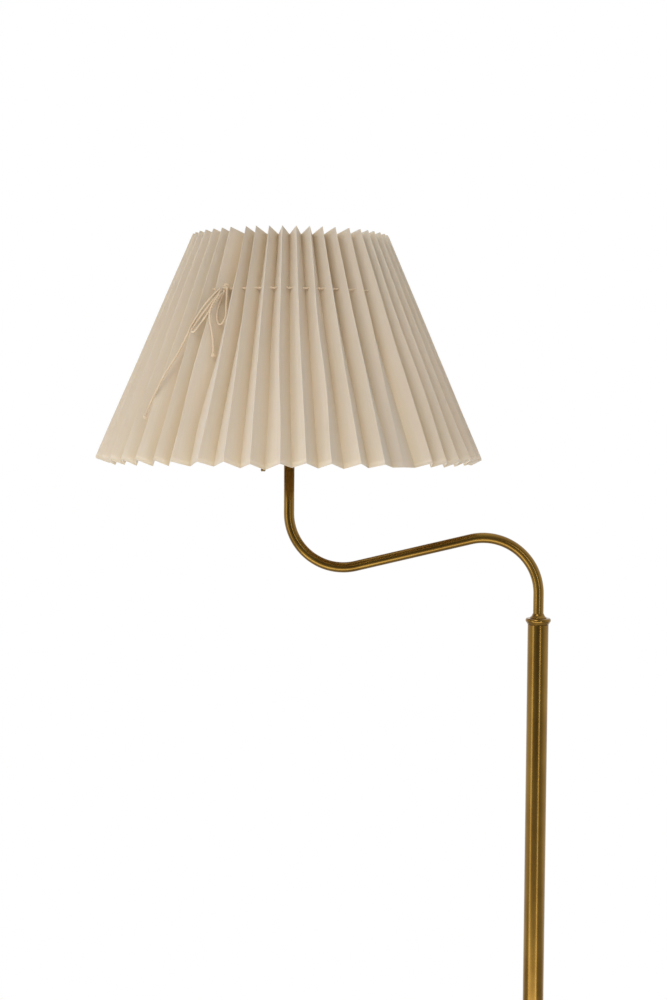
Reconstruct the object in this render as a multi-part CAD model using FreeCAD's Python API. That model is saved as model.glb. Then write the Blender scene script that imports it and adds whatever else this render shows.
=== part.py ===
"""Bridge floor lamp: a round weighted base, a straight pole, an S-bent arm and a pleated shade.

Millimetres. The origin is on the floor under the pole, +Z is up and the arm reaches towards -X.
"""

import FreeCAD, Part
import math
import os

# Driving dimensions.
POLE_R, POLE_WALL, POLE_LENGTH = 10.0, 1.5, 1000.0
ARM_R, ARM_WALL = 5.0, 1.0
REACH = 240.0  # from the pole's axis to the shade's axis
LOWER_BEND, UPPER_BEND, SLOPE_DEG = 52.0, 53.5, 13.5
SHANK_ABOVE = 29.6  # from the pole's top to the start of the upper bend, with the arm down
SHANK_BELOW = 330.0
RIM_ABOVE_POLE = 158.8  # from the pole's top to the outer folds' lower ends
SHADE_HEIGHT, SHADE_R_TOP, SHADE_R_RIM = 210.0, 93.0, 183.5
PLEATS, FACET, SHEET = 48, 15.5, 0.8
TURN_TOP, TURN_RIM = -2.9, -1.5  # degrees from the front to the first outer fold, at its two ends
NUDGES = {-4: (-1.0, -1.3), -3: (1.3, 0.0), 5: (1.6, 0.6), 6: (2.4, 1.6), 7: (1.6, 0.4)}
FLAT_FOLD = 5  # this outer fold fades out towards the rim
BASE_R, BASE_TOP = 130.0, 26.0
RUNNING = 0.08  # radial clearance of a running fit

FOOT = BASE_TOP + 2.0  # the pole stands here
POLE_TOP = FOOT + POLE_LENGTH
RIM = POLE_TOP + RIM_ABOVE_POLE
AXIS = FreeCAD.Vector(-REACH, 0, 0)
UP = FreeCAD.Vector(0, 0, 1)
SHADE_SLOPE = (SHADE_R_RIM - SHADE_R_TOP) / SHADE_HEIGHT


def save(node, shape):
    """Writes one node and says how many solids and how much volume it has."""
    print(f"{node}: {len(shape.Solids)} solid(s), {shape.Volume / 1000:.2f} cm3, valid {shape.isValid()}")
    shape.exportStep(f"parts/{node}.step")


def vec(x, y, z):
    return FreeCAD.Vector(x, y, z)


def rod(radius, low, high, x=0.0, y=0.0):
    return Part.makeCylinder(radius, high - low, vec(x, y, low))


def ring(outer, inner, low, high, x=0.0):
    return rod(outer, low, high, x).cut(rod(inner, low - 1, high + 1, x))


def turned(profile, x=0.0, base=0.0):
    """A solid turned about the vertical axis at x, from (radius, height) points above base."""
    points = [vec(x + r, 0, base + z) for r, z in profile]
    face = Part.Face(Part.makePolygon(points + points[:1]))
    return face.revolve(vec(x, 0, 0), UP, 360)


def hexagon(across, low, high, bore, x=0.0):
    corner = across / math.sqrt(3)
    sides = [math.radians(60 * k) for k in range(7)]
    outline = Part.makePolygon([vec(x + corner * math.cos(a), corner * math.sin(a), low) for a in sides])
    return Part.Face(outline).extrude(vec(0, 0, high - low)).cut(rod(bore, low - 1, high + 1, x))


def disc_wire(start, end, radius):
    """A straight round wire from start to end."""
    return Part.makeCylinder(radius, (end - start).Length, start, end - start)


def swept(path, radius):
    """A round bar of that radius along a path of straight runs and tangent arcs."""
    first = path.Edges[0]
    start, along = first.valueAt(first.FirstParameter), first.tangentAt(first.FirstParameter)
    circle = Part.Wire([Part.makeCircle(radius, start, along)])
    return path.makePipeShell([circle], True, False)


def rounded(points):
    """The path through points, each corner an arc as large as its two runs allow, and its least radius."""
    edges, at, radii = [], points[0], []
    for before, corner, after in zip(points, points[1:], points[2:]):
        into, out = corner - before, after - corner
        cut = 0.45 * min(into.Length, out.Length)
        half = into.getAngle(out) / 2
        radii.append(cut / math.tan(half))
        into.normalize()
        out.normalize()
        start, end = corner - into * cut, corner + out * cut
        middle = corner + (out - into).normalize() * (radii[-1] / math.cos(half) - radii[-1])
        edges.append(Part.LineSegment(at, start).toShape())
        edges.append(Part.Arc(start, middle, end).toShape())
        at = end
    edges.append(Part.LineSegment(at, points[-1]).toShape())
    return Part.Wire(edges), radii


# ---- Base ----
def base():
    """The iron weight in its spun brass cover, with the felt under it and the fixings in it."""
    wall, rim_top, hub = 1.2, 13.0, 19.0
    outer = [(BASE_R, 1.0), (BASE_R, rim_top), (BASE_R - 1.5, rim_top + 3.5), (BASE_R - 5, rim_top + 5)]
    outer += [(hub + 1, BASE_TOP), (5.3, BASE_TOP)]
    inner = [(5.3, BASE_TOP - wall), (hub, BASE_TOP - wall), (BASE_R - 5.6, rim_top + 3.9)]
    inner += [(BASE_R - 2.4, rim_top + 2.8), (BASE_R - wall, rim_top), (BASE_R - wall, 1.0)]
    gland_z = 7.5
    gland_hole = Part.makeCylinder(4.6, 20, vec(0, BASE_R - 12, gland_z), vec(0, 1, 0))
    save("base_cover", turned(outer + inner).cut(gland_hole))

    weight = [(5.3, 2.2), (BASE_R - 3, 2.2), (BASE_R - 1.8, 4), (BASE_R - 1.8, rim_top)]
    weight += [(BASE_R - 6.5, rim_top + 3.0), (hub, BASE_TOP - wall - 0.3), (5.3, BASE_TOP - wall - 0.3)]
    iron = turned(weight).cut(rod(20, 0, 17))
    pocket = Part.makeBox(34, 50, 14, vec(-17, 36, 0))
    channel = Part.makeBox(10, BASE_R, 12.5, vec(-5, 0, 0))
    save("base_weight", iron.cut(pocket).cut(channel))
    save("base_felt", rod(BASE_R - 3.5, 0, 2.2))
    save("base_nipple", ring(5.0, 3.5, 9, 50))
    save("base_washer", ring(18, 5.3, 14.5, 17))
    save("base_nut", hexagon(17, 9.5, 14.5, 5.0))

    gland = Part.makeCylinder(4.5, 13, vec(0, BASE_R - 12, gland_z), vec(0, 1, 0))
    gland = gland.fuse(Part.makeCylinder(6.0, 2.5, vec(0, BASE_R + 0.2, gland_z), vec(0, 1, 0)))
    save("cord_gland", gland.cut(Part.makeCylinder(3.2, 30, vec(0, BASE_R - 20, gland_z), vec(0, 1, 0))))

    block = Part.makeBox(20, 16, 10, vec(-10, 40, 4))
    screws = [rod(1.5, 3.4, 9, x, 48) for x in (-5, 5)]
    for screw in screws:
        block = block.cut(screw)
    save("terminal_block", block)
    save("terminal_screws", Part.makeCompound(screws))
    clamp = Part.makeBox(24, 7, 10.5, vec(-12, 68, 3.5))
    clamp_screws = [rod(1.5, 2.9, 12, x, 71.5) for x in (-8, 8)]
    for screw in clamp_screws:
        clamp = clamp.cut(screw)
    save("cord_clamp", clamp.cut(Part.makeCylinder(3.0, 9, vec(0, 67, 8), vec(0, 1, 0))))
    save("clamp_screws", Part.makeCompound(clamp_screws))

    foot = [(POLE_R + RUNNING, FOOT), (POLE_R + RUNNING, FOOT + 22), (11.5, FOOT + 22), (12.1, FOOT + 20.5)]
    foot += [(12.1, FOOT + 18), (11.2, FOOT + 16), (11.8, FOOT + 9), (13.5, FOOT + 5), (17.5, FOOT + 2.5)]
    foot += [(18.0, FOOT + 1), (18.0, BASE_TOP), (5.3, BASE_TOP), (5.3, FOOT)]
    save("foot_collar", turned(foot))
    save("pole_plug", ring(POLE_R - POLE_WALL, 5.0, FOOT, FOOT + 24))


# ---- Pole ----
def pole():
    save("pole_tube", ring(POLE_R, POLE_R - POLE_WALL, FOOT, POLE_TOP))
    bead = [(6.4, -12), (8.5, -12), (8.5, 0), (10.0, 0), (10.9, 1.6), (11.9, 3.0), (12.2, 4.2), (11.9, 5.4)]
    bead += [(11.2, 6.2), (6.4, 6.2)]
    save("collar_bead", turned(bead, base=POLE_TOP))
    bore = ARM_R + RUNNING
    neck = [(bore, -8), (6.4, -8), (6.4, 6.2), (8.3, 6.2), (7.9, 7.0), (6.6, 8.0), (5.8, 9.2), (5.5, 10.4), (bore, 10.4)]
    save("collar_neck", turned(neck, base=POLE_TOP))
    save("guide_liner", ring(POLE_R - POLE_WALL, bore, POLE_TOP - 42, POLE_TOP - 12))
    bend = Part.Arc(vec(0, 6, 4.2), vec(0, 6 - 6 * math.sin(math.pi / 4), 10.2 - 6 * math.cos(math.pi / 4)),
                    vec(0, 0, 10.2)).toShape()
    flat = Part.LineSegment(vec(0, 40, 4.2), vec(0, 6, 4.2)).toShape()
    rise = Part.LineSegment(vec(0, 0, 10.2), vec(0, 0, POLE_TOP - SHANK_BELOW - 40)).toShape()
    save("lead_in_pole", swept(Part.Wire([flat, bend, rise]), 1.5))


# ---- Arm ----
def arm_path(low, high):
    """The arm's centreline, from low inside the pole, round both bends, up the stem to high."""
    slope = math.radians(SLOPE_DEG)
    flat_run = REACH - (LOWER_BEND + UPPER_BEND) * (1 + math.sin(slope))
    straight = flat_run / math.cos(slope)
    upper = vec(-UPPER_BEND, 0, POLE_TOP + SHANK_ABOVE)
    drop = (LOWER_BEND + UPPER_BEND) * math.cos(slope) - straight * math.sin(slope)
    lower = vec(-REACH + LOWER_BEND, 0, upper.z + drop)

    def on(centre, radius, degrees):
        angle = math.radians(degrees)
        return centre + vec(math.cos(angle), 0, math.sin(angle)) * radius

    top_turn, low_turn = 90 + SLOPE_DEG, 270 + SLOPE_DEG
    shank_end, upper_end = on(upper, UPPER_BEND, 0), on(upper, UPPER_BEND, top_turn)
    lower_start, stem_start = on(lower, LOWER_BEND, low_turn), on(lower, LOWER_BEND, 180)
    return Part.Wire([
        Part.LineSegment(vec(0, 0, low), shank_end).toShape(),
        Part.Arc(shank_end, on(upper, UPPER_BEND, top_turn / 2), upper_end).toShape(),
        Part.LineSegment(upper_end, lower_start).toShape(),
        Part.Arc(lower_start, on(lower, LOWER_BEND, (180 + low_turn) / 2), stem_start).toShape(),
        Part.LineSegment(stem_start, vec(-REACH, 0, high)).toShape(),
    ])


def arm():
    foot = POLE_TOP - SHANK_BELOW
    top = RIM + 21
    outside, inside = arm_path(foot, top), arm_path(foot - 1, top + 1)
    tube = swept(outside, ARM_R).cut(swept(inside, ARM_R - ARM_WALL))
    save("arm_tube", tube)
    print("arm tube against its section times its length:",
          round(tube.Volume / (math.pi * (ARM_R**2 - (ARM_R - ARM_WALL)**2) * outside.Length), 4))
    save("lead_in_arm", swept(arm_path(foot - 8, RIM + 39.5), 1.5))
    save("shank_nut", hexagon(13, foot, foot + 6, ARM_R))
    save("shank_ring", ring(7.0, ARM_R, foot + 32.3, foot + 33.5))
    sleeve = ring(POLE_R - POLE_WALL - RUNNING, ARM_R + RUNNING, foot + 6.3, foot + 32.0)
    groove = ring(POLE_R, 7.2, foot + 15, foot + 23)
    save("glide_bush", sleeve.cut(groove))
    spring = ring(POLE_R - POLE_WALL - 0.02, 7.3, foot + 15.2, foot + 22.8)
    save("friction_ring", spring.cut(Part.makeBox(10, 3, 20, vec(3, -1.5, foot + 10))))


# ---- Lampholder and bulb, on the shade's axis, with heights above the rim ----
def lampholder():
    def part(profile):
        return turned(profile, x=-REACH, base=RIM)

    save("stem_ring", ring(8.0, ARM_R, RIM + 8, RIM + 13, -REACH))
    cap = [(5.05, 13), (8, 13), (8.6, 17), (11, 23), (15.5, 29), (18.4, 32.5), (19, 36), (19, 56), (18, 56)]
    cap += [(18, 36.3), (17.5, 33.2), (14.8, 30), (10.2, 24), (7.8, 18), (7.2, 14.2), (5.05, 14.2)]
    outlet_z = RIM + 47
    wall_hole = Part.makeCylinder(3.05, 6, vec(-REACH - 15, 0, outlet_z), vec(-1, 0, 0))
    save("lampholder_cap", part(cap).cut(wall_hole))
    bend = vec(-REACH - 20, 0, outlet_z - 5)
    half = 5 * math.sin(math.pi / 4)
    path = Part.Wire([
        Part.LineSegment(vec(-REACH - 17, 0, outlet_z), vec(-REACH - 20, 0, outlet_z)).toShape(),
        Part.Arc(bend + vec(0, 0, 5), bend + vec(-half, 0, half), bend + vec(-5, 0, 0)).toShape(),
        Part.LineSegment(bend + vec(-5, 0, 0), bend + vec(-5, 0, -5)).toShape(),
    ])
    save("chain_outlet", swept(path, 3.0).cut(swept(path, 2.0)))
    save("switch_block", rod(16, RIM + 40, RIM + 55.8, -REACH))
    save("porcelain_insert", part([(0, 56), (16, 56), (16, 90), (14.2, 90), (14.2, 62), (0, 62)]))
    skirt = [(16.2, 57.2), (16.2, 92), (16.8, 92)]
    for z in range(90, 58, -2):
        skirt += [(17.2, z), (16.8, z - 1)]
    skirt += [(16.8, 58.5), (19, 58.2), (19, 56.2), (16.2, 56.2)]
    save("lampholder_skirt", part(skirt))
    save("contact_shell", ring(14.15, 13.75, RIM + 62.2, RIM + 88, -REACH))
    save("centre_contact", Part.makeBox(12, 5, 0.8, vec(-REACH - 6, -2.5, RIM + 62)))
    for name, low, high in (("shade_ring_lower", 62, 68), ("shade_ring_upper", 69.2, 75)):
        rim = [(17.25, low), (19.2, low), (20.5, low + 1.0), (20.5, high - 1.0), (19.2, high), (17.25, high)]
        save(name, part(rim))

    thread = [(0, 66), (10.5, 66)]
    for z in (68, 71.6, 75.2, 78.8, 82.4):
        thread += [(12.7, z), (13.4, z + 1.0), (13.4, z + 1.9), (12.7, z + 2.9)]
    save("bulb_cap", part(thread + [(13.2, 88), (13.2, 91), (0, 91)]))
    save("bulb_contact", part([(0, 62.9), (3.5, 62.9), (4.5, 64), (8, 66), (0, 66)]))
    outer = [(13.1, 91), (14, 96), (18, 105), (25, 117), (29, 128), (30, 137), (28.7, 147), (24.5, 156), (18, 162.5),
             (9.5, 166.2), (0, 167)]
    inner = [(0, 166.1), (9.2, 165.3), (17.4, 161.8), (23.8, 155.5), (27.8, 146.7), (29.1, 137), (28.1, 128.3),
             (24.2, 117.4), (17.1, 105.4), (13.1, 96.2), (12.2, 91)]
    save("bulb_glass", part(outer + inner))
    mount = part([(0, 91), (6, 91), (5, 97), (2.6, 104), (2.2, 118), (0, 118)])
    posts = [vec(-REACH + 6 * math.cos(a), 6 * math.sin(a), RIM + 112) for a in (0.4, 2.5, 4.6)]
    strips = [disc_wire(p, p + (p - AXIS - UP * p.z) * 0.5 + UP * 36, 0.9) for p in posts]
    save("bulb_stem", mount)
    save("bulb_filaments", Part.makeCompound(strips))


def pull():
    x = -REACH - 25
    beads = [Part.makeSphere(1.2, vec(x, 0, RIM + 0.4 + 3.2 * k)) for k in range(13)]
    chain = rod(0.45, RIM - 2, RIM + 39, x)
    save("pull_chain", chain.multiFuse(beads))
    knob = [(0.5, -2.0), (1.3, -2.2), (1.5, -3.2), (1.2, -3.8), (1.6, -5.5), (2.1, -8.5), (2.25, -12.4), (1.9, -13.4)]
    save("pull_knob", turned([(0, -2.0)] + knob + [(0, -13.4)], x=x, base=RIM))


# ---- Shade ----
def fold_radius(height, inner):
    """The radius of the outer or inner folds' line at a height above the rim."""
    if not inner:
        return SHADE_R_RIM - SHADE_SLOPE * height
    (low_r, low_z), (top_r, top_z) = inner_ends()
    return low_r + (top_r - low_r) * (height - low_z) / (top_z - low_z)


def inner_ends():
    """(radius, height) of an inner fold's lower and upper ends: one facet's width in from the outer fold,
    with the sheet's edge square to its folds."""
    half = math.pi / PLEATS
    ends = []
    for radius, height in ((SHADE_R_RIM, 0.0), (SHADE_R_TOP, SHADE_HEIGHT)):
        inside = radius * math.cos(half) - math.sqrt(FACET**2 - (radius * math.sin(half))**2)
        ends.append((inside, height + SHADE_SLOPE * (inside * math.cos(half) - radius)))
    return ends


def on_shade(radius, degrees, height):
    """A point at a radius from the shade's axis, turned from the front, at a height above the rim."""
    angle = math.radians(degrees)
    return AXIS + vec(radius * math.sin(angle), -radius * math.cos(angle), RIM + height)


def folds():
    """(turn at the rim, turn at the top, radius and height at the rim, and at the top) of each fold in turn."""
    (low_r, low_z), (top_r, top_z) = inner_ends()
    pitch = 360.0 / PLEATS
    turns = [(TURN_RIM + pitch * k + NUDGES.get(k, (0, 0))[1], TURN_TOP + pitch * k + NUDGES.get(k, (0, 0))[0])
             for k in range(-PLEATS // 2, PLEATS // 2)]
    out = []
    for k, (rim, top) in enumerate(turns):
        flat = k - PLEATS // 2 == FLAT_FOLD
        after_rim, after_top = turns[(k + 1) % PLEATS]
        if k == PLEATS - 1:
            after_rim, after_top = after_rim + 360, after_top + 360
        out.append((rim, top, low_r + 1.0 if flat else SHADE_R_RIM, low_z * 0.7 if flat else 0.0, SHADE_R_TOP,
                    SHADE_HEIGHT))
        out.append(((rim + after_rim) / 2, (top + after_top) / 2, low_r, low_z, top_r, top_z))
    return out


def pleated_sheet():
    """The folded sheet as one closed shell of flat triangles, its inside set in by the sheet's slant thickness."""
    half = math.pi / PLEATS
    set_in_rim = SHEET / math.sin(math.atan2(SHADE_R_RIM * half, SHADE_R_RIM - inner_ends()[0][0]))
    set_in_top = SHEET / math.sin(math.atan2(SHADE_R_TOP * half, SHADE_R_TOP - inner_ends()[1][0]))
    corners = []
    for rim, top, rim_r, rim_z, top_r, top_z in folds():
        corners += [on_shade(rim_r, rim, rim_z), on_shade(top_r, top, top_z),
                    on_shade(top_r - set_in_top, top, top_z), on_shade(rim_r - set_in_rim, rim, rim_z)]
    triangles = []
    for here in range(0, len(corners), 4):
        there = (here + 4) % len(corners)
        for a in range(4):
            b = (a + 1) % 4
            if a == 2:  # the inside is split along the same diagonals as the outside
                triangles += [(here + a, here + b, there + a), (here + b, there + b, there + a)]
            else:
                triangles += [(here + a, here + b, there + b), (here + a, there + b, there + a)]
    for first in range(len(triangles)):  # some first facets leave the solid inside out
        skin = Part.Shape()
        skin.makeShapeFromMesh((corners, triangles[first:] + triangles[:first]), 0.01)
        sheet = Part.Solid(skin)
        if sheet.Volume > 0:
            break
    print("fabric set in", round(set_in_rim, 2), round(set_in_top, 2), "inner folds", inner_ends())
    return sheet, max(set_in_rim, set_in_top)


DRAWSTRING_Z, DRAWSTRING_R = 154.0, 107.5
RING_Z, WIRE_R = 8.0, 1.5


def shade():
    sheet, set_in = pleated_sheet()
    save("shade_pleated", sheet)
    save("drawstring", Part.makeTorus(DRAWSTRING_R, 1.0, AXIS + UP * (RIM + DRAWSTRING_Z), UP))

    # The frame's wires lie inside the inner folds.
    def wire_radius(height):
        return fold_radius(height, True) - set_in - 1.8

    top_r, low_r = wire_radius(DRAWSTRING_Z), wire_radius(RING_Z)
    top_ring = Part.makeTorus(top_r, WIRE_R, AXIS + UP * (RIM + DRAWSTRING_Z), UP)
    low_ring = Part.makeTorus(low_r, WIRE_R, AXIS + UP * (RIM + RING_Z), UP)
    save("frame_ring_top", top_ring)
    save("frame_ring_rim", low_ring)
    struts = [disc_wire(on_shade(low_r, a, RING_Z), on_shade(top_r, a, DRAWSTRING_Z), WIRE_R).cut(top_ring).cut(low_ring)
              for a in range(30, 390, 60)]
    save("frame_struts", Part.makeCompound([max(s.Solids, key=lambda x: x.Volume) for s in struts]))
    washer = ring(26, 17.3, RIM + 68, RIM + 69.2, -REACH)
    save("frame_washer", washer)
    arms = [disc_wire(on_shade(24, a, 70.8), on_shade(top_r, a, DRAWSTRING_Z), WIRE_R).cut(top_ring).cut(washer)
            for a in (60, 180, 300)]
    save("frame_arms", Part.makeCompound([max(s.Solids, key=lambda x: x.Volume) for s in arms]))


# ---- The drawstring's bow. Each point is (degrees from the front, height above the rim, clear of the folds) ----
CORD_R = 1.0
KNOT = (-29.6, 154.8, -5.5)
LOOP_RIGHT = [(-28.8, 152.4, -6.5), (-28.1, 145.0, -6.5), (-27.1, 136.7, -6.0), (-26.0, 129.4, -5.5),
              (-26.4, 122.8, -5.5), (-28.0, 119.8, -5.5), (-30.0, 124.1, -6.0), (-31.0, 131.5, -6.0),
              (-30.9, 138.8, -6.0), (-30.3, 146.0, -5.5), (-29.7, 151.9, -5.0)]
LOOP_LEFT = [(-31.0, 152.2, -4.0), (-31.3, 144.8, 0.8), (-33.0, 138.5, 2.2), (-35.2, 132.3, 0.8), (-36.9, 126.2, 0.6),
             (-37.9, 119.7, 1.6), (-38.6, 114.6, 2.4), (-37.0, 113.6, 2.4), (-36.0, 117.6, 1.6), (-34.9, 123.6, 0.6),
             (-33.3, 130.0, 0.9), (-31.4, 136.5, 2.0), (-30.1, 142.9, 0.6), (-30.1, 149.1, -4.0)]
TAIL_LONG = [(-31.4, 153.3, -3.0), (-32.6, 146.9, 1.8), (-34.8, 140.2, 2.6), (-37.3, 133.7, 0.8), (-38.7, 126.6, 0.6),
             (-39.7, 118.9, 1.7), (-40.6, 110.8, 0.8), (-42.1, 102.1, -0.4), (-43.2, 92.8, -0.4), (-44.6, 82.9, 0.6),
             (-45.8, 72.4, 1.7), (-46.6, 61.0, 1.8), (-47.8, 49.4, 1.6), (-48.1, 38.8, 1.5)]
TAIL_SHORT = [(-30.3, 148.0, -1.0), (-30.7, 140.5, 4.2), (-31.7, 132.9, 3.6), (-31.3, 124.4, 1.4),
              (-30.3, 116.2, -2.0), (-29.2, 107.6, -4.0), (-28.4, 99.5, -5.5), (-28.0, 93.1, -6.0)]


def bow():
    def route(points):
        return [on_shade(fold_radius(z, False) + clear, turn, z) for turn, z, clear in points]

    save("bow_knot", Part.makeSphere(3.0, route([KNOT])[0]))
    for name, points in (("bow_loop_right", LOOP_RIGHT), ("bow_loop_left", LOOP_LEFT), ("bow_tail_long", TAIL_LONG),
                         ("bow_tail_short", TAIL_SHORT)):
        path, radii = rounded(route(points))
        tube = swept(path, CORD_R)
        print(name, "length", round(path.Length, 1), "least radius", round(min(radii), 1),
              "volume share", round(tube.Volume / (math.pi * CORD_R**2 * path.Length), 3))
        save(name, tube)


os.makedirs("parts", exist_ok=True)
base()
pole()
arm()
lampholder()
pull()
shade()
bow()
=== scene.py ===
# %% [markdown]
# # A bridge floor lamp with a pleated shade
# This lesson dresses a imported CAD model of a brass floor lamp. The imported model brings
# every rigid piece in its place, in metres. What the lesson adds is what CAD leaves plain:
# the folded cotton, the cord that gathers it, the polished curves of the brass, and a
# finish for every piece.

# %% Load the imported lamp
import math

import bmesh
import bpy
import numpy as np
from mathutils import Matrix, Vector


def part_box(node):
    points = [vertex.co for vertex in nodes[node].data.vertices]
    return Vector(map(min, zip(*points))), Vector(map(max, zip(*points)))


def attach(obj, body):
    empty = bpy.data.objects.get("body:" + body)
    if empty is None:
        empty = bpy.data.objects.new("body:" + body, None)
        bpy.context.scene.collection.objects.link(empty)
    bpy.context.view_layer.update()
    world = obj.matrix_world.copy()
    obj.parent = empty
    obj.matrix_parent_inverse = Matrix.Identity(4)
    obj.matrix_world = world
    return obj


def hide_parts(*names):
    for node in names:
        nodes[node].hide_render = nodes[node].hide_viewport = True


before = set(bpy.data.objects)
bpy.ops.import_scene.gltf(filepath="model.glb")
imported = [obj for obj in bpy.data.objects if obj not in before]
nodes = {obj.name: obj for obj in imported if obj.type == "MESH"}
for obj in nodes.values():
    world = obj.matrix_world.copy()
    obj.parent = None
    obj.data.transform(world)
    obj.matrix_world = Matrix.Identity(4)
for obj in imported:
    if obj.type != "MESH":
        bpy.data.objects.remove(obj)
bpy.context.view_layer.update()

# %% [markdown]
# ## Places to measure from
# Almost everything is placed from two heights and one axis: the top of the pole, the lower
# ends of the shade's outer folds, and the upright line through the middle of the shade.
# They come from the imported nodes, so a changed model moves the new pieces with it.

# %% Read the heights and the shade's axis
MM = 0.001
POLE_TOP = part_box("pole_tube")[1].z
stem_low, stem_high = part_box("stem_ring")
STEM_RING_ABOVE_RIM = 8 * MM
RIM = stem_low.z - STEM_RING_ABOVE_RIM
SHADE_X = (stem_low.x + stem_high.x) / 2
FLOOR_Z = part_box("base_felt")[0].z
print(f"pole top {POLE_TOP:.4f}, rim {RIM:.4f}, shade axis x {SHADE_X:.4f}")

# %% [markdown]
# ## The camera
# A photograph's viewpoint can be worked out from sizes that are known on the object. Here
# the camera stands 1.6 m in front of the lamp at the height of the shade, and looks down
# by 3 degrees. The scene's sensor is 36 mm along the long side of the picture, so the
# focal length is 36 mm times the one in pixels, over the picture's 1000 pixels.

# %% Set up the camera
PICTURE_LONG_SIDE = 1000
FOCAL_PIXELS = 1657
CAMERA_PLACE = (SHADE_X + 41.9 * MM, -1.584, RIM + 44.1 * MM)
CAMERA_PITCH_DEG, CAMERA_ROLL_DEG = -3.053, -0.4

camera_data = bpy.data.cameras.new("studio_camera")
camera_data.sensor_width = 36
camera_data.lens = camera_data.sensor_width * FOCAL_PIXELS / PICTURE_LONG_SIDE
camera = bpy.data.objects.new("studio_camera", camera_data)
bpy.context.collection.objects.link(camera)
camera.location = CAMERA_PLACE
camera.rotation_euler = (math.radians(90 + CAMERA_PITCH_DEG), math.radians(CAMERA_ROLL_DEG), 0)
bpy.context.scene.camera = camera
bpy.context.scene.view_settings.view_transform = "Standard"
print("lens", round(camera_data.lens, 1), "mm at", [round(c, 3) for c in camera.location])

# %% [markdown]
# ## From a grid of points to a mesh
# Every new surface here is a function of two parameters. Numpy works out all its points at
# once, as a grid of rows and columns, and one helper turns the grid into a mesh: each set
# of four neighbours is a face. A direction that closes on itself is wrapped. Points that
# fall together, as at a pole, are merged, and the faces are turned to point outwards.

# %% Make a mesh from a grid
SAME_POINT = 1e-7  # metres; points closer than this are one


def sealed(mesh):
    """The mesh with points that fall together merged and its faces turned outwards."""
    shell = bmesh.new()
    shell.from_mesh(mesh)
    bmesh.ops.remove_doubles(shell, verts=shell.verts, dist=SAME_POINT)
    bmesh.ops.recalc_face_normals(shell, faces=shell.faces)
    shell.to_mesh(mesh)
    shell.free()
    mesh.shade_smooth()
    return mesh


def from_grid(name, grid, wrap=(False, True), flat=None, fields=None):
    """A mesh from points in rows and columns: face (i, j) joins points (i, j), (i+1, j),
    (i+1, j+1) and (i, j+1). wrap says whether rows and columns close on themselves. flat
    gives each point's place on the uncurled surface in metres, for the UV map, with one
    more row or column where the grid wraps. fields are named numbers, one to a point."""
    index = np.arange(grid.shape[0] * grid.shape[1]).reshape(grid.shape[:2])
    if wrap[0]:
        index = np.vstack([index, index[:1]])
    if wrap[1]:
        index = np.hstack([index, index[:, :1]])

    def corners(cells):
        around = [cells[:-1, :-1], cells[1:, :-1], cells[1:, 1:], cells[:-1, 1:]]
        return np.stack(around, axis=2)

    mesh = bpy.data.meshes.new(name)
    mesh.from_pydata(grid.reshape(-1, 3).tolist(), [], corners(index).reshape(-1, 4).tolist())
    if flat is not None:
        layer = mesh.uv_layers.new(name="flat")
        layer.data.foreach_set("uv", corners(flat).astype(np.float32).ravel())
    for field, values in (fields or {}).items():
        attribute = mesh.attributes.new(field, "FLOAT", "POINT")
        attribute.data.foreach_set("value", values.astype(np.float32).ravel())
    return sealed(mesh)


def place(name, mesh, body, slot, replaced=()):
    """Puts a mesh in the scene as a piece that rides on a body, in the place of CAD nodes."""
    piece = bpy.data.objects.new(name, mesh)
    bpy.context.collection.objects.link(piece)
    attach(piece, body)
    if replaced:
        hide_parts(*replaced)
    piece.data.materials.append(FINISHES[slot])
    print(f"{name}: {len(piece.data.polygons)} faces on {body}")
    return piece


# %% [markdown]
# ## Colours and nodes
# Colours are easiest to read as the sRGB hex values that a picture editor shows. Blender's
# shaders work in linear light, so one function converts them. Another adds a shader node
# with its settings and its links, so each finish below reads as a short recipe.

# %% Convert colours and add nodes


def linear(hex_colour):
    """sRGB to linear light: c / 12.92 up to 0.04045, and ((c + 0.055) / 1.055) ** 2.4 above."""
    channels = [int(hex_colour[i:i + 2], 16) / 255 for i in (1, 3, 5)]
    return tuple(c / 12.92 if c <= 0.04045 else ((c + 0.055) / 1.055) ** 2.4 for c in channels) + (1.0,)


def add(tree, kind, sockets=None, **settings):
    """Adds a shader node. A value in sockets that is another node's output is linked."""
    node = tree.nodes.new("ShaderNode" + kind)
    for name, value in settings.items():
        setattr(node, name, value)
    for name, value in (sockets or {}).items():
        if isinstance(value, bpy.types.NodeSocket):
            tree.links.new(value, node.inputs[name])
        else:
            node.inputs[name].default_value = value
    return node


def new_finish(name, sockets):
    """A material with one Principled shader, whose sockets are set as given."""
    material = bpy.data.materials.new(name)
    material.use_nodes = True
    tree = material.node_tree
    shader = tree.nodes["Principled BSDF"]
    for socket, value in sockets.items():
        shader.inputs[socket].default_value = value
    return material, tree, shader


def between(tree, factor, low, high):
    """The output of a node that mixes two hex colours by a factor."""
    mix = add(tree, "Mix", {0: factor, 6: linear(low), 7: linear(high)}, data_type="RGBA")
    return mix.outputs[2]


def stretch(tree, source, metres):
    """Coordinates in which one unit is that many metres along x, y and z, so that noise at
    scale 1 has that grain."""
    mapping = add(tree, "Mapping", {"Vector": source, "Scale": tuple(1 / m for m in metres)})
    return mapping.outputs["Vector"]


FINISHES = {}

# %% [markdown]
# ## Brass with an old patina
# The tubes are drawn brass, darkened in a bath to an olive brown, rubbed back by hand and
# lacquered. The rubbing leaves faint lines along the tubes and paler metal where hands
# reach. A metal takes its colour from its reflections, so the base colour is the dark
# patina, and the thin lacquer on top adds the small white lights.

# %% Aged brass
RUBBED_GRAIN = (1.6 * MM, 1.6 * MM, 90 * MM)  # fine across the tube, long down it
CLOUD = (22 * MM, 22 * MM, 40 * MM)

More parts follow.
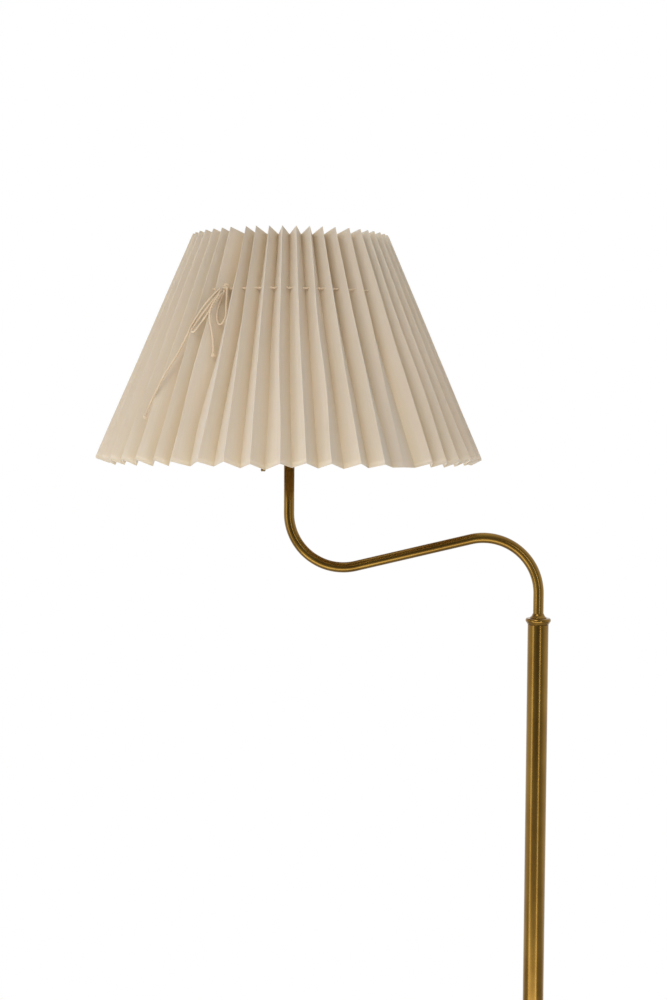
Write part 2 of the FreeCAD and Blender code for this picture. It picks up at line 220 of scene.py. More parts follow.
material, tree, shader = new_finish(
    "aged_brass_lacquered",
    {"Metallic": 1.0, "Coat Weight": 0.18, "Coat Roughness": 0.12, "Coat IOR": 1.5})
spot = add(tree, "TexCoord").outputs["Object"]
cloud = add(tree, "TexNoise", {"Vector": stretch(tree, spot, CLOUD), "Scale": 1.0, "Detail": 4.0})
grain = add(tree, "TexNoise", {"Vector": stretch(tree, spot, RUBBED_GRAIN), "Scale": 1.0, "Detail": 3.0})
patches = add(tree, "MapRange", {"Value": cloud.outputs["Fac"], "From Min": 0.35, "From Max": 0.65})
colour = between(tree, patches.outputs["Result"], "#7C5C22", "#8A6A2C")
roughness = add(tree, "MapRange", {"Value": grain.outputs["Fac"], "To Min": 0.19, "To Max": 0.24})
tree.links.new(colour, shader.inputs["Base Color"])
tree.links.new(roughness.outputs["Result"], shader.inputs["Roughness"])
FINISHES["aged_brass"] = material
print("aged brass:", len(tree.nodes), "nodes")

# %% [markdown]
# ## Pleated cotton
# The shade is unbleached cotton stiffened with size, then pressed into knife-sharp folds.
# It is matt, with a plain weave of about two threads a millimetre. The inner folds are
# painted a little browner, as painted shade for the shade that falls deep in the folds.
# Light passes into the cloth and out again nearby, which subsurface scattering gives. The
# threads follow the sheet's own flat coordinates, so that they run along the folds. They are
# drawn 0.9 mm apart, because the real 0.5 mm is too fine to show at this size.

# %% Cotton for the shade
THREAD = 0.9 * MM
ONE_BAND = 0.314  # the wave texture's scale for bands one unit wide
SLUB = (1.2 * MM, 30 * MM, 1.0)
MOTTLE = (26 * MM, 40 * MM, 1.0)

material, tree, shader = new_finish(
    "unbleached_cotton_pleated",
    {"Roughness": 0.92, "Sheen Weight": 0.08, "Sheen Roughness": 0.6, "Specular IOR Level": 0.25,
     "Subsurface Weight": 0.55, "Subsurface Scale": 1.0 * MM, "Subsurface Radius": (1.0, 0.85, 0.65)})
flat = add(tree, "TexCoord").outputs["UV"]
depth = add(tree, "Attribute", attribute_name="fold_depth").outputs["Fac"]
threads = stretch(tree, flat, (THREAD, THREAD, 1.0))
along = add(tree, "TexWave", {"Vector": threads, "Scale": ONE_BAND}, bands_direction="X")
across = add(tree, "TexWave", {"Vector": threads, "Scale": ONE_BAND}, bands_direction="Y")
weave = add(tree, "Math", {0: along.outputs["Fac"], 1: across.outputs["Fac"]}, operation="MULTIPLY")
slub = add(tree, "TexNoise", {"Vector": stretch(tree, flat, SLUB), "Scale": 1.0, "Detail": 3.0})
mottle = add(tree, "TexNoise", {"Vector": stretch(tree, flat, MOTTLE), "Scale": 1.0})
cloth = between(tree, slub.outputs["Fac"], "#D9CEBA", "#E7DDCD")
cloth_tone = add(tree, "Mix", {0: mottle.outputs["Fac"], 6: cloth, 7: linear("#E3D3C1")}, data_type="RGBA")
# painted shade: the cloth is mixed up to 0.4 of the way to a browner colour where it lies deep in a fold
fold_shade = add(tree, "MapRange", {"Value": depth, "From Min": 0.35, "To Max": 0.4})
cloth_with_fold_shade = add(tree, "Mix", {0: fold_shade.outputs["Result"], 6: cloth_tone.outputs[2], 7: linear("#D3BE94")},
           data_type="RGBA")
raised = add(tree, "Math", {0: weave.outputs["Value"], 1: slub.outputs["Fac"]}, operation="ADD")
bump = add(tree, "Bump", {"Height": raised.outputs["Value"], "Strength": 0.35, "Distance": 0.12 * MM})
tree.links.new(cloth_with_fold_shade.outputs[2], shader.inputs["Base Color"])
tree.links.new(bump.outputs["Normal"], shader.inputs["Normal"])
FINISHES["pleated_cotton"] = material
print("pleated cotton:", len(tree.nodes), "nodes")

# %% [markdown]
# ## Cotton cord
# The drawstring is two plies of undyed cotton twisted together. The twist is modelled, so
# the finish only adds the fibres in each ply, which run round it at a slant.

# %% Cotton for the cord
FIBRE = (0.25 * MM, 1.4 * MM, 1.0)

material, tree, shader = new_finish(
    "undyed_cotton_cord",
    {"Roughness": 0.95, "Sheen Weight": 0.2, "Sheen Roughness": 0.5, "Specular IOR Level": 0.2,
     "Subsurface Weight": 0.1, "Subsurface Scale": 0.6 * MM, "Subsurface Radius": (1.0, 0.7, 0.45)})
flat = add(tree, "TexCoord").outputs["UV"]
slant = add(tree, "Mapping", {"Vector": flat, "Rotation": (0.0, 0.0, math.radians(35))})
fibres = add(tree, "TexNoise", {"Vector": stretch(tree, slant.outputs["Vector"], FIBRE), "Scale": 1.0, "Detail": 4.0})
bump = add(tree, "Bump", {"Height": fibres.outputs["Fac"], "Strength": 0.5, "Distance": 0.1 * MM})
tree.links.new(between(tree, fibres.outputs["Fac"], "#DFC6A4", "#F2E2CB"), shader.inputs["Base Color"])
tree.links.new(bump.outputs["Normal"], shader.inputs["Normal"])
FINISHES["cotton_cord"] = material
print("cotton cord:", len(tree.nodes), "nodes")

# %% [markdown]
# ## The finishes of the smaller pieces
# The rest are known by two things: how large their grain is, and how far it changes the
# colour and the surface. A table holds both for each, with what gives it that look.

# %% Metals, moulded parts and castings
# slot: (name, base sockets, darker and lighter colour, grain in mm, roughness from and to, bump in mm)
PLAIN = {"Metallic": 0.0}
METAL = {"Metallic": 1.0}
GLAZED = {"Metallic": 0.0, "Coat Weight": 0.8, "Coat Roughness": 0.05, "Coat IOR": 1.5}
SMALL_FINISHES = {
    # sand-cast iron keeps the mould's grain under a thin oxide
    "cast_iron": ("sand_cast_iron", METAL, "#3A3835", "#55514C", (2, 2, 2), (0.55, 0.8), 0.25),
    # pressed wool felt has short loose fibres
    "felt": ("pressed_wool_felt", {"Sheen Weight": 0.4}, "#2D3A2C", "#44543F", (0.6, 0.6, 2), (0.9, 1.0), 0.3),
    # zinc plate is bluish grey with faint spangle
    "zinc_steel": ("zinc_plated_steel", METAL, "#9DA1A3", "#BFC3C4", (3, 3, 3), (0.25, 0.42), 0.02),
    # moulded rubber blooms to a matt grey black
    "black_rubber": ("moulded_rubber", PLAIN, "#171717", "#262524", (1.5, 1.5, 1.5), (0.6, 0.75), 0.03),
    # polyamide from the mould is milky
    "white_plastic": ("moulded_polyamide", PLAIN, "#DAD8D0", "#EBE9E2", (4, 4, 4), (0.35, 0.5), 0.02),
    # nylon turned from rod shows fine tool lines
    "nylon": ("turned_nylon", PLAIN, "#D9D5C8", "#E8E4D8", (20, 20, 0.3), (0.3, 0.45), 0.02),
    # spring bronze is rolled, redder than brass
    "spring_bronze": ("rolled_spring_bronze", METAL, "#9A6B3C", "#B98650", (0.5, 0.5, 12), (0.25, 0.4), 0.01),
    # the lead's jacket is soft plastic with a slight draw
    "lead_sheath": ("extruded_cable_jacket", PLAIN, "#D8D2C2", "#E6E1D3", (1.5, 1.5, 20), (0.4, 0.5), 0.02),
    # phenolic resin is dark and hard, with wood flour in it
    "phenolic": ("moulded_phenolic", PLAIN, "#241712", "#35231A", (0.8, 0.8, 0.8), (0.25, 0.4), 0.01),
    # electrical porcelain has a clear glaze over a white body
    "porcelain": ("glazed_porcelain", GLAZED, "#E6E3DB", "#F1EFE9", (5, 5, 5), (0.2, 0.3), 0.01),
    # a bulb's cap is nickel-plated brass
    "bulb_metal": ("nickel_plated_brass", METAL, "#A9A79F", "#C8C6BD", (2, 2, 2), (0.2, 0.35), 0.01),
    # the pull chain is brass, darkened as the rest but less rubbed
    "chain_metal": ("darkened_brass_chain", METAL, "#665334", "#8F7850", (1, 1, 1), (0.3, 0.45), 0.01),
    # the shade's wires are coated in white paint
    "frame_wire": ("painted_steel_wire", PLAIN, "#DDD8CC", "#EFEBE1", (3, 3, 3), (0.4, 0.55), 0.03),
}

for slot, (name, base, dark, light, grain_mm, rough, bump_mm) in SMALL_FINISHES.items():
    material, tree, shader = new_finish(name, base)
    spot = add(tree, "TexCoord").outputs["Object"]
    grain = add(tree, "TexNoise", {"Vector": stretch(tree, spot, tuple(g * MM for g in grain_mm)),
                                   "Scale": 1.0, "Detail": 4.0})
    matt = add(tree, "MapRange", {"Value": grain.outputs["Fac"], "To Min": rough[0], "To Max": rough[1]})
    bump = add(tree, "Bump", {"Height": grain.outputs["Fac"], "Strength": 0.6, "Distance": bump_mm * MM})
    tree.links.new(between(tree, grain.outputs["Fac"], dark, light), shader.inputs["Base Color"])
    tree.links.new(matt.outputs["Result"], shader.inputs["Roughness"])
    tree.links.new(bump.outputs["Normal"], shader.inputs["Normal"])
    FINISHES[slot] = material
print("small finishes:", ", ".join(sorted(SMALL_FINISHES)))

# %% [markdown]
# ## Glass and its light strips
# The bulb is blown soda glass, thin enough to be clear. Its strips are ceramic, coated in
# a yellow phosphor. Blown glass has a very slight unevenness, which a weak bump gives.

# %% Bulb glass and filament
material, tree, shader = new_finish(
    "blown_clear_glass", {"Base Color": linear("#FAFAF7"), "Roughness": 0.02, "IOR": 1.5, "Transmission Weight": 1.0})
spot = add(tree, "TexCoord").outputs["Object"]
uneven = add(tree, "TexNoise", {"Vector": stretch(tree, spot, (15 * MM, 15 * MM, 25 * MM)), "Scale": 1.0})
bump = add(tree, "Bump", {"Height": uneven.outputs["Fac"], "Strength": 0.2, "Distance": 0.1 * MM})
tree.links.new(bump.outputs["Normal"], shader.inputs["Normal"])
FINISHES["bulb_glass"] = material

material, tree, shader = new_finish("phosphor_coating", {"Roughness": 0.7})
spot = add(tree, "TexCoord").outputs["Object"]
beads = add(tree, "TexNoise", {"Vector": stretch(tree, spot, (1.2 * MM, 1.2 * MM, 1.2 * MM)), "Scale": 1.0})
tree.links.new(between(tree, beads.outputs["Fac"], "#D9A93A", "#F0CB62"), shader.inputs["Base Color"])
FINISHES["filament"] = material
print("glass and filament made")

# %% [markdown]
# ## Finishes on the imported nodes
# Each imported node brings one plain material, named for the record's slot. It is swapped
# for the finish of the same name.

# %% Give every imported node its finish
for node in nodes.values():
    for place_in_list, plain in enumerate(node.data.materials):
        node.data.materials[place_in_list] = FINISHES[plain.name]
print(len(FINISHES), "finishes on", len(nodes), "nodes")

# %% [markdown]
# ## Folds of the shade
# The shade is one rectangular strip with 96 parallel creases. Folded to and fro and bent
# into a ring, its outer creases lie on one cone and its inner creases on a smaller one.
# Every facet keeps its width of 15.5 mm, so the folds are deep where the ring is small.
# Some folds of the real shade have slipped sideways, and one has been pressed flat at the
# rim, so the turns of those are changed by a few degrees. The next function gives each
# crease's two ends, as in the solid model.

# %% Where each crease starts and ends
PLEATS = 48
FACET = 15.5 * MM
SHADE_HEIGHT, SHADE_R_TOP, SHADE_R_RIM = 210 * MM, 93 * MM, 183.5 * MM
SHADE_SLOPE = (SHADE_R_RIM - SHADE_R_TOP) / SHADE_HEIGHT
TURN_TOP, TURN_RIM = -2.9, -1.5
# outer crease, counted from the front: degrees moved at the top and at the rim
SLIPPED = {-4: (-1.0, -1.3), -3: (1.3, 0.0), 5: (1.6, 0.6), 6: (2.4, 1.6), 7: (1.6, 0.4)}
PRESSED_FLAT = 5  # this outer crease's lower end lies almost on the inner creases
PRESSED_CLEAR, PRESSED_DROP = 1 * MM, 0.7


def inner_end(radius, height):
    """(radius, height) of an inner crease's end beside an outer crease's end: it is one
    facet's width away in plan, and the sheet's edge is square to its creases."""
    half = math.pi / PLEATS
    inside = radius * math.cos(half) - math.sqrt(FACET**2 - (radius * math.sin(half)) ** 2)
    return inside, height + SHADE_SLOPE * (inside * math.cos(half) - radius)


def creases():
    """Arrays over the 96 creases, outer and inner in turn: degrees from the front, radius
    and height above the rim, each at the rim (row 0) and at the top (row 1)."""
    count = np.arange(-PLEATS // 2, PLEATS // 2)
    slips = np.array([SLIPPED.get(int(k), (0, 0)) for k in count])
    outer = np.array([TURN_RIM, TURN_TOP])[:, None] + 360 / PLEATS * count + slips[:, ::-1].T
    after = np.roll(outer, -1, axis=1)
    after[:, -1] += 360
    turn = np.stack([outer, (outer + after) / 2], axis=2).reshape(2, -1)
    ends = [(SHADE_R_RIM, 0.0), (SHADE_R_TOP, SHADE_HEIGHT)]
    inside = [inner_end(*end) for end in ends]
    radius = np.array([np.tile([out[0], into[0]], PLEATS) for out, into in zip(ends, inside)])
    height = np.array([np.tile([out[1], into[1]], PLEATS) for out, into in zip(ends, inside)])
    pressed = 2 * (PRESSED_FLAT + PLEATS // 2)
    radius[0, pressed], height[0, pressed] = inside[0][0] + PRESSED_CLEAR, inside[0][1] * PRESSED_DROP
    return turn, radius, height


CREASE_TURN, CREASE_RADIUS, CREASE_HEIGHT = creases()
print("inner creases end at", inner_end(SHADE_R_RIM, 0.0), "and", inner_end(SHADE_R_TOP, SHADE_HEIGHT))

# %% [markdown]
# ## The folded sheet
# Between two creases the cloth is a facet, a straight blend from one crease to the next.
# Real cloth adds three things. A pressed crease is a fine round, and not a knife edge, so
# the grid has points close beside it for the shading to turn over. Each facet bows by a
# fraction of a millimetre. And each crease wanders a little on its way up, more at the
# free rim than at the top, which makes the light on neighbouring folds differ. The sheet
# is closed into a thin skin: the same grid set in towards the axis makes its inside.

# %% Fold the sheet
ACROSS = np.array([0.0, 0.02, 0.07, 0.27, 0.5, 0.73, 0.93, 0.98])  # places across one facet
UPWARDS = 44
CLOTH = 0.5 * MM
BOW, WANDER, RIM_WAVE = 0.2 * MM, 0.5 * MM, 0.6 * MM


def folded_sheet():
    """Point (v, u): with u in facet k at share s and v up the sheet, the crease lines'
    cylindrical coordinates are blended linearly in v along each crease, turned into x, y
    and z, and blended linearly in s between crease k and crease k + 1. The creases wander
    by a sum of three sines, and each facet bulges outwards by bow 4 s (1 - s)."""
    random = np.random.default_rng(11)
    v = np.linspace(0, 1, UPWARDS)[:, None]
    wander = [sum(random.normal(size=2 * PLEATS) * np.sin(2 * math.pi * (wave * v + random.random(2 * PLEATS)))
                  for wave in (0.35, 0.8, 1.7)) for _ in range(2)]
    loose = WANDER * (1 - 0.65 * v)
    radius = CREASE_RADIUS[0] + (CREASE_RADIUS[1] - CREASE_RADIUS[0]) * v + 0.5 * loose * wander[0]
    turn = np.radians(CREASE_TURN[0] + (CREASE_TURN[1] - CREASE_TURN[0]) * v) + loose * wander[1] / radius
    height = CREASE_HEIGHT[0] + (CREASE_HEIGHT[1] - CREASE_HEIGHT[0]) * v
    height = height + RIM_WAVE * random.normal(size=2 * PLEATS) * (1 - v) ** 6
    crease = np.stack([SHADE_X + radius * np.sin(turn), -radius * np.cos(turn), RIM + height], axis=2)
    following = np.roll(crease, -1, axis=1)
    s = ACROSS[None, None, :, None]
    sheet = crease[:, :, None] * (1 - s) + following[:, :, None] * s
    per_facet = (1, 2 * PLEATS, 1)
    bow = BOW * random.normal(size=per_facet) * np.sin(math.pi * (v[:, :, None] + random.random(per_facet)))
    bulge = bow * 4 * ACROSS * (1 - ACROSS)
    outward = sheet - [SHADE_X, 0, 0]
    outward[..., 2] = 0
    outward /= np.linalg.norm(outward, axis=3, keepdims=True)
    sheet = (sheet + outward * bulge[..., None]).reshape(UPWARDS, -1, 3)
    return sheet, outward.reshape(UPWARDS, -1, 3)


outside, outward = folded_sheet()
half_turn = math.pi / PLEATS
set_in = [CLOTH / math.sin(math.atan2(r * half_turn, r - inner_end(r, 0.0)[0])) for r in (SHADE_R_RIM, SHADE_R_TOP)]
set_in = np.linspace(*set_in, UPWARDS)[:, None, None]
inside = (outside - outward * set_in)[::-1]
skin = np.concatenate([outside, inside])
SLANT = math.hypot(SHADE_HEIGHT, SHADE_R_RIM - SHADE_R_TOP)
along_strip = FACET * np.append((np.arange(2 * PLEATS)[:, None] + ACROSS).ravel(), 2 * PLEATS)
up_strip = SLANT * np.concatenate([np.linspace(0, 1, UPWARDS), np.linspace(1, 0, UPWARDS), [0]])
strip = np.stack(np.broadcast_arrays(along_strip[None, :], up_strip[:, None]), axis=2)
even = np.arange(2 * PLEATS)[:, None] % 2 == 0
fold_depth = np.tile(np.where(even, ACROSS, 1 - ACROSS).ravel(), (2 * UPWARDS, 1))
shade_mesh = from_grid("shade_folded", skin, (True, True), strip, {"fold_depth": fold_depth})
shade = place("shade_folded", shade_mesh, "arm", "pleated_cotton", ["shade_pleated"])

# %% [markdown]
# ## A two-ply cord
# A twisted cord is two round strands that wind about each other. Each ply's centre circles
# the cord's line at about half the cord's radius, one turn for every lay, and the ply's
# skin circles that centre. The ends are drawn in to a point so that the skin is closed.

# %% Twist two plies along a line
CORD_R = 1.0 * MM
PLY_R = 0.53 * MM
LAY = 5.5 * MM
PLY_SIDES = 10
STEP = 0.45 * MM


def unit(vectors):
    """Each vector over its own length."""
    return vectors / np.linalg.norm(vectors, axis=-1, keepdims=True)


def evenly(line, step=STEP):
    """The same line with points one step apart, by linear blending along its length."""
    run = np.concatenate([[0], np.cumsum(np.linalg.norm(np.diff(line, axis=0), axis=1))])
    at = np.linspace(0, run[-1], max(int(run[-1] / step), 8))
    return np.stack([np.interp(at, run, line[:, k]) for k in range(3)], axis=1), at


def two_plies(name, line, facing, closed=False):
    """Ply k's centre is line + (R - r) (cos a side + sin a across), with a = 2 pi length /
    lay + pi k. Its skin is centre + r (cos b side + sin b across). side is the part of
    facing square to the line, and across is square to both. R and r are the cord's and
    the ply's radius."""
    line, run = evenly(line)
    turns = max(round(run[-1] / LAY), 1)
    facing = np.broadcast_to(facing(line), line.shape)
    tangent = unit(np.gradient(line, axis=0))
    side = unit(facing - (facing * tangent).sum(1, keepdims=True) * tangent)
    across = np.cross(tangent, side)
    b = np.linspace(0, 2 * math.pi, PLY_SIDES, endpoint=False)[None, :, None]
    taper = np.ones(len(line))
    if not closed:
        taper[[0, -1]], taper[[1, -2]] = 0.0, 0.75
    shells = []
    for ply in (0, 1):
        a = (2 * math.pi * turns * run / run[-1] + math.pi * ply)[:, None]
        centre = line + (CORD_R - PLY_R) * (np.cos(a) * side + np.sin(a) * across)
        skin = centre[:, None] + PLY_R * taper[:, None, None] * (
            np.cos(b) * side[:, None] + np.sin(b) * across[:, None])
        round_ply = 2 * math.pi * PLY_R * np.arange(PLY_SIDES + 1) / PLY_SIDES
        rows = np.append(run, run[-1] + STEP) if closed else run
        flat = np.stack(np.broadcast_arrays(rows[:, None], round_ply[None, :]), axis=2)
        shells.append(from_grid(name, skin[:-1] if closed else skin, (closed, True),
                                flat[:-1] if closed else flat))
    return join(name, shells)


def join(name, meshes):
    """One mesh of several."""
    whole = bmesh.new()
    for mesh in meshes:
        whole.from_mesh(mesh)
    joined = bpy.data.meshes.new(name)
    whole.to_mesh(joined)
    whole.free()
    joined.shade_smooth()
    return joined


# %% [markdown]
# ## The drawstring
# The string passes through every facet at one height and pulls the top of the shade
# together over its frame. Inside a fold it runs straight. In the valleys between the folds
# it shows, and hangs a little. Its depth in a fold comes from how far round it is between
# two creases.

# %% Thread the drawstring
STRING_Z, STRING_R = 154 * MM, 107.5 * MM
STRING_SAG = 1.3 * MM


def string_line(samples=2400):
    """A circle of the string's radius. Its height is the string's less the sag times
    (1 - cos(pi p)) / 2, where p counts the creases passed at that height, 0 at an outer one."""
    share = STRING_Z / SHADE_HEIGHT
    turn = CREASE_TURN[0] + (CREASE_TURN[1] - CREASE_TURN[0]) * share
    around = np.linspace(0, 360, samples)
    passed = np.interp(around, np.append(turn - turn[0], 360), np.arange(2 * PLEATS + 1))
    angle = np.radians(around + turn[0])
    height = STRING_Z + STRING_SAG * (0.45 - (1 - np.cos(math.pi * passed)) / 2)
    return np.stack([SHADE_X + STRING_R * np.sin(angle), -STRING_R * np.cos(angle), RIM + height], axis=1)


def away_from_axis(points):
    """The level direction from the shade's axis to each point."""
    level = (points - [SHADE_X, 0, 0]) * [1, 1, 0]
    return unit(level)


drawstring_mesh = two_plies("drawstring_twisted", string_line(), away_from_axis, closed=True)
place("drawstring_twisted", drawstring_mesh, "arm", "cotton_cord", ["drawstring"])

# %% [markdown]
# ## The bow
# The string's two ends come out beside one fold and are tied in a bow, whose loops and
# tails lie over the folds. Each is a limp cord on a smooth line. The route's points are
# given as turn from the front, height above the rim and clearance from the outer creases,
# and they are the control points of a NURBS curve. The curve is read back as a fine line,
# and the plies wind along it.

# %% Lay out the bow's lines
# (degrees from the front, metres above the rim, metres clear of the outer creases)
KNOT = (-29.6, 0.1548, -0.0055)
LOOP_RIGHT = [(-28.8, .1524, -.0065), (-28.1, .1450, -.0065), (-27.1, .1367, -.0060), (-26.0, .1294, -.0055),
              (-26.4, .1228, -.0055), (-28.0, .1198, -.0055), (-30.0, .1241, -.0060), (-31.0, .1315, -.0060),
              (-30.9, .1388, -.0060), (-30.3, .1460, -.0055), (-29.7, .1519, -.0050)]
LOOP_LEFT = [(-31.0, .1522, -.0040), (-31.3, .1448, .0008), (-33.0, .1385, .0022), (-35.2, .1323, .0008),
             (-36.9, .1262, .0006), (-37.9, .1197, .0016), (-38.6, .1146, .0024), (-37.0, .1136, .0024),
             (-36.0, .1176, .0016), (-34.9, .1236, .0006), (-33.3, .1300, .0009), (-31.4, .1365, .0020),
             (-30.1, .1429, .0006), (-30.1, .1491, -.0040)]
TAIL_LONG = [(-31.4, .1533, -.0030), (-32.6, .1469, .0018), (-34.8, .1402, .0026), (-37.3, .1337, .0008),
             (-38.7, .1266, .0006), (-39.7, .1189, .0017), (-40.6, .1108, .0008), (-42.1, .1021, -.0004),
             (-43.2, .0928, -.0004), (-44.6, .0829, .0006), (-45.8, .0724, .0017), (-46.6, .0610, .0018),
             (-47.8, .0494, .0016), (-48.1, .0388, .0015)]
TAIL_SHORT = [(-30.3, .1480, -.0010), (-30.7, .1405, .0042), (-31.7, .1329, .0036), (-31.3, .1244, .0014),
              (-30.3, .1162, -.0020), (-29.2, .1076, -.0040), (-28.4, .0995, -.0055), (-28.0, .0931, -.0060)]


def on_shade(points):
    """x = axis + r sin turn, y = -r cos turn, with r the outer creases' radius at that
    height plus the clearance."""
    turn, height, clear = np.array(points, float).T
    turn, radius = np.radians(turn), SHADE_R_RIM - SHADE_SLOPE * height + clear
    return np.stack([SHADE_X + radius * np.sin(turn), -radius * np.cos(turn), RIM + height], axis=1)


def smooth_line(name, route):
    """The points of a NURBS curve that has the route's points as its control points."""
    data = bpy.data.curves.new(name, "CURVE")
    data.dimensions = "3D"
    spline = data.splines.new("NURBS")
    spline.points.add(len(route) - 1)
    spline.points.foreach_set("co", np.column_stack([route, np.ones(len(route))]).ravel())
    spline.order_u = 3
    spline.use_endpoint_u = True
    spline.resolution_u = 16
    holder = bpy.data.objects.new(name, data)
    bpy.context.collection.objects.link(holder)
    mesh = bpy.data.meshes.new_from_object(holder)
    line = np.empty(3 * len(mesh.vertices))
    mesh.vertices.foreach_get("co", line)
    bpy.data.objects.remove(holder)
    bpy.data.meshes.remove(mesh)
    bpy.data.curves.remove(data)
    return line.reshape(-1, 3)


def length_of(line):
    """The sum of the distances between neighbouring points."""
    return float(np.linalg.norm(np.diff(line, axis=0), axis=1).sum())


# %% [markdown]
# ## Knots
# A knot in a small cord reads as a lump with the cord going over and under itself. A
# trefoil line gives that: x = sin t + 2 sin 2t, y = cos t - 2 cos 2t, z = -sin 3t. The
# plies wind along it as they do elsewhere.

# %% Tie the knots


def trefoil(centre, size, lean):
    """A trefoil line about a centre, with its flat side facing outwards from the shade and
    turned by lean. The formula above is scaled by size / 3."""
    t = np.linspace(0, 2 * math.pi, 240)
    x, y, z = np.sin(t) + 2 * np.sin(2 * t), np.cos(t) - 2 * np.cos(2 * t), -np.sin(3 * t)
    out = away_from_axis(centre[None])[0]
    along_rim = np.array([-out[1], out[0], 0.0])
    up = np.array([0.0, 0.0, 1.0])
    wide, tall = math.cos(lean) * along_rim + math.sin(lean) * up, math.cos(lean) * up - math.sin(lean) * along_rim
    return centre + size / 3 * (x[:, None] * wide + y[:, None] * tall + z[:, None] * out)


KNOT_SIZE, END_KNOT_SIZE = 2.6 * MM, 1.3 * MM
knot_at = on_shade([KNOT])[0]
knot_mesh = two_plies("bow_knot_tied", trefoil(knot_at, KNOT_SIZE, 0.4), away_from_axis, closed=True)
knot = place("bow_knot_tied", knot_mesh, "arm", "cotton_cord", ["bow_knot"])

# %% Lay the loops and tails
BOW_CORDS = [("bow_loop_right", LOOP_RIGHT, "object"), ("bow_loop_left", LOOP_LEFT, "object"),
             ("bow_tail_long", TAIL_LONG, "knot"), ("bow_tail_short", TAIL_SHORT, "knot")]
for node, points, far_end in BOW_CORDS:
    line = smooth_line(node, on_shade(points))
    cord = place(node + "_twisted", two_plies(node + "_twisted", line, away_from_axis), "arm", "cotton_cord", [node])
    pieces = [knot] if node == "bow_loop_right" else []
    if far_end == "knot":
        end_mesh = two_plies(node + "_end", trefoil(line[-1], END_KNOT_SIZE, 1.1), away_from_axis, closed=True)
        pieces.append(place(node + "_end", end_mesh, "arm", "cotton_cord"))
    print(f"{node}: {length_of(line) / MM:.1f} mm")

# %% [markdown]
# ## Turned and spun pieces
# The collar, the foot and the lampholder's cap are turned on a lathe or spun over a form,
# so each is one outline carried round an axis. A tool leaves no perfectly sharp edge: the
# outline's corners are eased with a short curve before it is turned.

# %% Turn an outline round an upright axis
AROUND = 128


def eased(outline, cut, closed):
    """Each corner becomes a curve that starts and ends up to cut away on its two sides, but
    no further than 0.45 of a side: (1-t)^2 start + 2t(1-t) corner + t^2 end. An open
    outline keeps its two ends."""
    corner = np.array(outline, float) * MM
    before, after = np.roll(corner, 1, 0) - corner, np.roll(corner, -1, 0) - corner
    start, end = (corner + side * np.minimum(cut * MM / np.linalg.norm(side, axis=1), 0.45)[:, None]
                  for side in (before, after))
    if not closed:
        start[[0, -1]] = end[[0, -1]] = corner[[0, -1]]
    t = np.linspace(0, 1, 6)[None, :, None]
    curve = (1 - t) ** 2 * start[:, None] + 2 * t * (1 - t) * corner[:, None] + t**2 * end[:, None]
    if closed:
        return curve.reshape(-1, 2)
    return np.concatenate([corner[:1], curve[1:-1].reshape(-1, 2), corner[-1:]])


def turned(name, outline, x=0.0, base=0.0, cut=0.4):
    """Point (i, j) is (x + r cos a, r sin a, base + z), with (r, z) point i of the eased
    outline and a = 2 pi j / around. An outline that touches the axis at both ends is left
    open, and its ends become poles."""
    closed = min(r for r, _ in outline) > 0
    r, z = eased(outline, cut, closed).T
    a = np.linspace(0, 2 * math.pi, AROUND, endpoint=False)
    grid = np.stack([x + r[:, None] * np.cos(a), r[:, None] * np.sin(a),
                     np.broadcast_to(base + z[:, None], (len(r), AROUND))], axis=2)
    return from_grid(name, grid, (closed, True))


# %% [markdown]
# ## The pole and its collar
# The pole is a 20 mm tube. A bead ring closes its top, and a small neck flares in from it
# to the arm. The bead is a full round, which is what gives its bright curved lights.

# %% Pole, bead and neck
POLE_R, POLE_WALL, ARM_R, ARM_WALL = 10.0, 1.5, 5.0, 1.0
RUNNING = 0.08
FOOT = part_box("pole_tube")[0].z / MM
POLE_LENGTH = POLE_TOP / MM - FOOT
bore = ARM_R + RUNNING
pole = [(POLE_R - POLE_WALL, 0), (POLE_R, 0), (POLE_R, POLE_LENGTH), (POLE_R - POLE_WALL, POLE_LENGTH)]
bead = [(6.4, -12), (8.5, -12), (8.5, 0), (10.0, 0), (10.9, 1.6), (11.9, 3.0), (12.2, 4.2), (11.9, 5.4), (11.2, 6.2),
        (6.4, 6.2)]
neck = [(bore, -8), (6.4, -8), (6.4, 6.2), (8.3, 6.2), (7.9, 7.0), (6.6, 8.0), (5.8, 9.2), (5.5, 10.4), (bore, 10.4)]
place("pole_drawn", turned("pole_drawn", pole, base=FOOT * MM, cut=0.2), "stand", "aged_brass", ["pole_tube"])
place("collar_bead_turned", turned("collar_bead_turned", bead, base=POLE_TOP, cut=1.0), "stand", "aged_brass",
      ["collar_bead"])
place("collar_neck_turned", turned("collar_neck_turned", neck, base=POLE_TOP, cut=0.8), "stand", "aged_brass",
      ["collar_neck"])

# %% [markdown]
# ## The foot and the base's cover
# The pole stands in a turned foot on a spun cover with a rolled edge. The lead's gland
# passes through the cover's back, so a round hole is cut there with a Boolean, and the
# result is kept as plain mesh.

# %% Foot and cover
BASE_R, BASE_TOP, COVER_WALL = 130.0, 26.0, 1.2
foot = [(10.08, FOOT), (10.08, FOOT + 22), (11.5, FOOT + 22), (12.1, FOOT + 20.5), (12.1, FOOT + 18),
        (11.2, FOOT + 16), (11.8, FOOT + 9), (13.5, FOOT + 5), (17.5, FOOT + 2.5), (18.0, FOOT + 1), (18.0, BASE_TOP),
        (5.3, BASE_TOP), (5.3, FOOT)]
place("foot_turned", turned("foot_turned", foot, cut=1.2), "stand", "aged_brass", ["foot_collar"])

